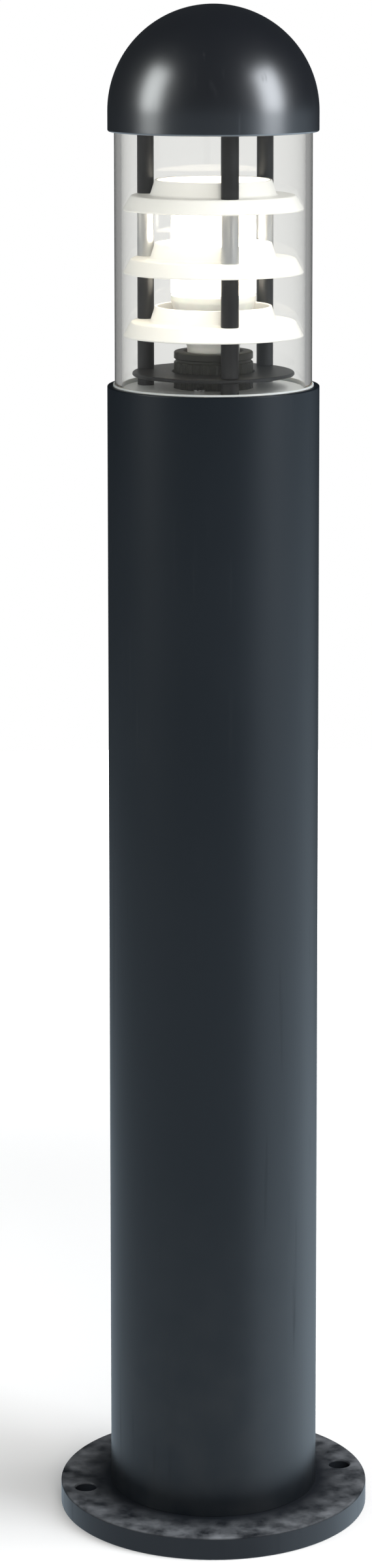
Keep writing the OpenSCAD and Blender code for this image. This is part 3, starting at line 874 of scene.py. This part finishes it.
def buildNuts(node):
    low, high = span(node)
    bore = nutLook["bore"]
    corners = nutLook["cornerR"]
    chamfer = nutLook["chamfer"]
    past = 0.01 * mm
    wide = corners + 0.05 * mm

    def nut(name, at):
        body = lathe(name, [(bore, low), (corners, low), (corners, high), (bore, high)], 6, at)
        trim = lathe(name + "_trim", [
            (0, low - past), (corners - chamfer, low - past), (wide, low + chamfer),
            (wide, high - chamfer), (corners - chamfer, high + past), (0, high + past),
        ], 48, at)
        cut(body, [trim], "INTERSECT")
        return body

    nuts = joined(node + "Hex", onRods(nut))
    return settle(nuts, brightSteel, "post", "bright_steel", node)


for louvreNode in ("louvre_low", "louvre_mid", "louvre_high"):
    buildLouvre(louvreNode)
for spacerNode in ("foot_spacers", "low_spacers", "mid_spacers", "top_spacers"):
    buildSpacers(spacerNode, darkSteel, "dark_steel")
buildSpacers("high_spacers", ringMetal, "ring_metal")
for rodNode in ("tie_rod_front", "tie_rod_right", "tie_rod_left"):
    buildRod(rodNode)
buildPlate()
buildNuts("rod_nuts_top")
print("louvre cage ready")


holderLook = {
    "barrelR": 20.5 * mm, "bore": 14.6 * mm, "floor": 10 * mm,
    "flangeDrop": 5 * mm, "flangeThick": 3 * mm,
    "collar": 4 * mm, "groove": 0.9 * mm, "flutes": 30, "fluteDepth": 0.55 * mm,
}


# Moulded holder with a fluted barrel under a plain collar
def buildHolder():
    low, high = span("lampholder")
    wide = radius("lampholder")
    outer = holderLook["barrelR"]
    bore = holderLook["bore"]
    neck = outer - holderLook["groove"]
    flangeHigh = span("head_seat")[1] - holderLook["flangeDrop"]
    flangeLow = flangeHigh - holderLook["flangeThick"]
    floor = low + holderLook["floor"]
    collar = high - holderLook["collar"]
    outline = roundedLoop([
        (0, low), (outer, low, 0.8 * mm), (outer, flangeLow), (wide, flangeLow, 0.5 * mm),
        (wide, flangeHigh, 0.5 * mm), (outer, flangeHigh),
        (outer, collar - 1.6 * mm, 0.3 * mm), (neck, collar - 1.2 * mm, 0.2 * mm),
        (neck, collar, 0.2 * mm), (outer, collar + 0.3 * mm, 0.3 * mm),
        (outer, high, 1.0 * mm), (bore + 1.2 * mm, high, 0.5 * mm),
        (bore, high - 1.2 * mm, 0.3 * mm), (bore, floor), (0, floor),
    ])

    def flute(r, z, angle):
        if abs(r - outer) > 0.2 * mm or not flangeHigh + 2 * mm < z < collar - mm:
            return r
        return r - holderLook["fluteDepth"] * max(0.0, math.cos(holderLook["flutes"] * angle))

    # Two more rows, so that the flutes start in one short step
    extra = [Vector((outer, flangeHigh + 5.2 * mm)), Vector((outer, flangeHigh + 5.6 * mm))]
    top = next(i for i, p in enumerate(outline) if p.y > flangeHigh + 6 * mm)
    holder = lathe("lampholderBody", outline[:top] + extra + outline[top:], 240, shape=flute)
    return settle(holder, holderPlastic, "post", "holder_plastic", "lampholder")


threadLook = {
    "r": 12.7 * mm, "depth": 0.36 * mm, "pitch": 3.629 * mm, "turnsFrom": 3 * mm, "turnsTo": 17.6 * mm,
    "rows": 90, "ease": 2 * mm,
    "footR": 10.6 * mm, "footBevelR": 11.5 * mm, "neckR": 13.15 * mm, "topR": 13.2 * mm,
}


# The lamp's pressed metal shell with its rounded thread
def buildScrewShell():
    low, high = span("lamp_screw_shell")
    start = low + threadLook["turnsFrom"]
    end = low + threadLook["turnsTo"]
    rows = threadLook["rows"]
    side = [(threadLook["r"], start + (end - start) * k / rows) for k in range(rows + 1)]
    outline = [(0, low), (threadLook["footR"], low), (threadLook["footBevelR"], low + 0.6 * mm)] + side
    outline += [(threadLook["neckR"], end + 0.7 * mm), (threadLook["topR"], high), (0, high)]

    def thread(r, z, angle):
        if not start <= z <= end or r < threadLook["footBevelR"]:
            return r
        ease = min(1.0, (z - start) / threadLook["ease"], (end - z) / threadLook["ease"] + 0.15)
        return r + threadLook["depth"] * ease * math.cos(2 * math.pi * z / threadLook["pitch"] - angle)

    shell = lathe("lampScrewShell", outline, 96, shape=thread)
    return settle(shell, nickel, "lamp", "lamp_metal", "lamp_screw_shell", angleDeg=50)


housingLook = {
    "neckR": 13.6 * mm, "flareFrom": 9 * mm, "flareTo": 33 * mm, "joint": 0.7 * mm,
    "fins": 24, "finDepth": 0.7 * mm, "rowStep": 1.2 * mm,
}


# White lamp housing with shallow cooling flutes and a joint line under the envelope
def buildHousing():
    low, high = span("lamp_housing")
    wide = radius("lamp_housing")
    neck = housingLook["neckR"]
    step = wide - housingLook["joint"]
    flareFoot = low + housingLook["flareFrom"]
    flareTop = low + housingLook["flareTo"]
    outline = roundedLoop([
        (0, low), (neck - 0.3 * mm, low, 0.3 * mm), (neck, flareFoot, 6 * mm),
        (wide, flareTop, 5 * mm), (wide, high - 1.2 * mm, 0.2 * mm), (step, high - 0.9 * mm, 0.2 * mm),
        (step, high), (0, high),
    ], 8)
    outline = refined(outline, housingLook["rowStep"])

    def fin(r, z, angle):
        if not flareFoot < z < flareTop or r < neck:
            return r
        middle = math.sin(math.pi * (z - flareFoot) / (flareTop - flareFoot))
        return r - housingLook["finDepth"] * middle * (0.5 + 0.5 * math.cos(housingLook["fins"] * angle))

    housing = lathe("lampHousing", outline, 192, shape=fin)
    return settle(housing, lampPlastic, "lamp", "lamp_white", "lamp_housing", angleDeg=45)


envelopeLook = {
    "wall": 1.5 * mm, "footEdge": 0.3 * mm, "domeSteps": 24,
    "strength": 7.0, "glow": (1.0, 0.91, 0.75), "footGlow": (0.75, 0.66, 0.52), "fade": 6 * mm,
    "dark": (0.84, 0.82, 0.76), "light": (0.90, 0.89, 0.85), "cloudScale": 35.0, "roughness": 0.32,
}


def buildEnvelope():
    low, high = span("lamp_envelope")
    outer = radius("lamp_envelope")
    edge = envelopeLook["footEdge"]
    inner = outer - envelopeLook["wall"]
    foot = [Vector((inner, low)), Vector((outer - edge, low)), Vector((outer, low + edge))]
    dome = domeHalves(high, outer, envelopeLook["wall"], envelopeLook["domeSteps"])
    bulb = lathe("lampEnvelope", foot + dome, 128)
    return settle(bulb, makeOpal(envelopeLook, low), "lamp", "lamp_opal", "lamp_envelope")


buildHolder()
buildScrewShell()
buildHousing()
buildEnvelope()
print("lamp ready")


keptFinishes = {
    "cable_grommet": blackRubber, "base_set_screws": brightSteel, "terminal_bracket": zincSheet,
    "bracket_screws": brightSteel, "terminal_block": terminalPlastic, "terminal_screws": brass,
    "lead_live": brownWire, "lead_neutral": blueWire, "lead_earth": greenWire,
    "head_seat": seatPaint, "seat_set_screws": brightSteel, "earth_tag": brass, "earth_screw": brass,
    "lower_gasket": paleSilicone, "holder_shell": brass, "holder_contact": brass,
    "holder_screws": brightSteel, "top_ring": ringMetal, "rod_nuts_low": brightSteel,
    "rod_washers_top": brightSteel, "lamp_contact": nickel, "lamp_insulator": lampBlack,
    "lamp_board": boardWhite, "upper_gasket": paleSilicone, "cap_set_screws": brightSteel,
}
for keptNode, keptMaterial in keptFinishes.items():
    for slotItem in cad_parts[keptNode].material_slots:
        slotItem.material = keptMaterial
print("CAD finishes ready")


shot = {
    "azimuth": -12.7, "distance": 1.978, "height": 0.840, "pitch": 8.05,
    "lens": 88.32, "shiftX": -0.0175, "shiftY": -0.20125,
}


# A place round the object: azimuth 0 is in front of it, along -Y, and rises to the right
def aroundObject(azimuthDeg, distance, height):
    turn = math.radians(azimuthDeg)
    return (distance * math.sin(turn), -distance * math.cos(turn), height)


floorLook = {
    "r": 1.9, "sides": 96, "dark": (0.88, 0.88, 0.88), "light": (0.9064, 0.9064, 0.9064),
    "roughness": 0.9, "glowFrom": 0.5, "glowTo": 1.5,
}


# A round pale floor that fades into the backdrop by a glow towards its rim
def buildFloor():
    sides = floorLook["sides"]
    outline = [aroundObject(360 * k / sides, floorLook["r"], 0) for k in range(sides)]
    floor = meshObject("floor", outline, [tuple(range(sides))])
    material, tree, shader = newMaterial("floorPaint", roughness=floorLook["roughness"])
    drift = useGroup(tree, driftGroup, -600, 200, Scale=1.5, Contrast=0.4)
    tone = blendColours(tree, drift, floorLook["dark"], floorLook["light"], -300, 200)
    tree.links.new(tone, shader.inputs["Base Color"])
    shader.inputs["Specular IOR Level"].default_value = 0.1
    place = addNode(tree, "ShaderNodeTexCoord", -900, -200).outputs["Object"]
    away = addNode(tree, "ShaderNodeVectorMath", -700, -200, operation="LENGTH")
    tree.links.new(place, away.inputs[0])
    reach = away.outputs["Value"]
    rim = rampUp(tree, reach, floorLook["glowFrom"], floorLook["glowTo"], 0.0, 1.0, -500, -200)
    shader.inputs["Emission Color"].default_value = (1.0, 1.0, 1.0, 1.0)
    tree.links.new(rim, shader.inputs["Emission Strength"])
    floor.visible_glossy = False
    floor.data.materials.append(material)


studio = {
    "backdrop": 1.0, "besideBackdrop": 0.45, "ambient": 0.42,
    "roomColour": (0.72, 0.87, 1.0), "room": 0.03,
    "ground": 0.98, "groundFrom": -0.21, "groundTo": -0.36,
    "wall": 1.15, "wallAzimuth": 92, "wallFrom": 0.42, "wallTo": 0.86, "wallHigh": 0.0, "wallLow": -0.32,
}


def addBackground(tree, strength, colour, y):
    node = addNode(tree, "ShaderNodeBackground", 0, y)
    node.inputs["Color"].default_value = (*colour, 1.0)
    if isinstance(strength, (int, float)):
        node.inputs["Strength"].default_value = strength
    else:
        tree.links.new(strength, node.inputs["Strength"])
    return node.outputs[0]


# White backdrop, even ambient light, and in reflections a dim room with a pale wall on the right
def buildWorld():
    world = bpy.data.worlds.new("studioAir")
    bpy.context.scene.world = world
    world.use_nodes = True
    tree = world.node_tree
    tree.nodes.remove(tree.nodes["Background"])
    aim = addNode(tree, "ShaderNodeTexCoord", -1100, -100).outputs["Generated"]
    split = addNode(tree, "ShaderNodeSeparateXYZ", -900, -100)
    tree.links.new(aim, split.inputs[0])
    height = split.outputs["Z"]
    ground = rampUp(
        tree, height, studio["groundFrom"], studio["groundTo"],
        studio["room"], studio["ground"], -700, -100,
    )
    toWall = addNode(tree, "ShaderNodeVectorMath", -900, -350, operation="DOT_PRODUCT")
    toWall.inputs[1].default_value = aroundObject(shot["azimuth"] + studio["wallAzimuth"], 1.0, 0.0)
    tree.links.new(aim, toWall.inputs[0])
    across = toWall.outputs["Value"]
    wall = rampUp(tree, across, studio["wallFrom"], studio["wallTo"], 0.0, studio["wall"], -700, -350)
    low = rampUp(tree, height, studio["wallHigh"], studio["wallLow"], 0.0, 1.0, -700, -600)
    glow = calc(tree, "ADD", ground, calc(tree, "MULTIPLY", wall, low, -450, -400), -250, -200)
    ray = addNode(tree, "ShaderNodeLightPath", -700, 500)
    straight = calc(tree, "LESS_THAN", ray.outputs["Glossy Depth"], 0.5, -500, 600)
    white = between(tree, straight, studio["besideBackdrop"], studio["backdrop"], -350, 600)
    through = ray.outputs["Is Transmission Ray"]
    seen = calc(tree, "MAXIMUM", ray.outputs["Is Camera Ray"], through, -200, 600)
    room = addBackground(tree, glow, studio["roomColour"], -100)
    ambient = addBackground(tree, studio["ambient"], (1.0, 1.0, 1.0), 100)
    backdrop = addBackground(tree, white, (1.0, 1.0, 1.0), 300)
    lit = addNode(tree, "ShaderNodeMixShader", 250, 0)
    tree.links.new(ray.outputs["Is Glossy Ray"], lit.inputs[0])
    tree.links.new(ambient, lit.inputs[1])
    tree.links.new(room, lit.inputs[2])
    pick = addNode(tree, "ShaderNodeMixShader", 450, 0)
    tree.links.new(seen, pick.inputs[0])
    tree.links.new(lit.outputs[0], pick.inputs[1])
    tree.links.new(backdrop, pick.inputs[2])
    tree.links.new(pick.outputs[0], tree.nodes["World Output"].inputs["Surface"])


softboxes = {
    "overhead": {
        "spot": (1.1, -0.5, 2.5), "aim": 0.2, "size": (1.6, 1.6),
        "watts": 48, "colour": (1.0, 1.0, 1.0), "glossy": False,
    },
    "rightBox": {
        "spot": aroundObject(shot["azimuth"] + 67, 1.7, 1.31), "aim": 0.76, "size": (0.80, 1.3),
        "watts": 14, "colour": (0.90, 0.945, 1.0), "glossy": True,
    },
    "leftBox": {
        "spot": aroundObject(shot["azimuth"] - 72, 1.7, 1.31), "aim": 0.76, "size": (0.74, 1.3),
        "watts": 10.5, "colour": (0.96, 1.0, 1.0), "glossy": True,
    },
    "front": {
        "spot": aroundObject(shot["azimuth"] + 8, 2.4, 1.0), "aim": 0.7, "size": (1.0, 1.0),
        "watts": 26, "colour": (1.0, 0.97, 0.92), "glossy": False,
    },
}


def addSoftbox(name, box):
    light = bpy.data.lights.new(name, "AREA")
    light.shape = "RECTANGLE"
    light.size, light.size_y = box["size"]
    light.energy = box["watts"]
    light.color = box["colour"]
    obj = bpy.data.objects.new(name, light)
    bpy.context.scene.collection.objects.link(obj)
    obj.location = box["spot"]
    toAim = Vector((0, 0, box["aim"])) - Vector(box["spot"])
    obj.rotation_euler = toAim.to_track_quat("-Z", "Y").to_euler()
    obj.visible_glossy = box["glossy"]
    obj.visible_camera = False
    obj.visible_transmission = False


def buildCamera():
    data = bpy.data.cameras.new("camera")
    data.lens = shot["lens"]
    data.sensor_width = 36
    data.shift_x = shot["shiftX"]
    data.shift_y = shot["shiftY"]
    data.clip_end = 200
    camera = bpy.data.objects.new("camera", data)
    bpy.context.scene.collection.objects.link(camera)
    camera.location = aroundObject(shot["azimuth"], shot["distance"], shot["height"])
    camera.rotation_euler = (math.radians(90 - shot["pitch"]), 0, math.radians(shot["azimuth"]))
    bpy.context.scene.camera = camera


bpy.context.scene.view_settings.view_transform = "Standard"
buildFloor()
buildWorld()
for boxName, boxLook in softboxes.items():
    addSoftbox(boxName, boxLook)
buildCamera()
print("stage ready")
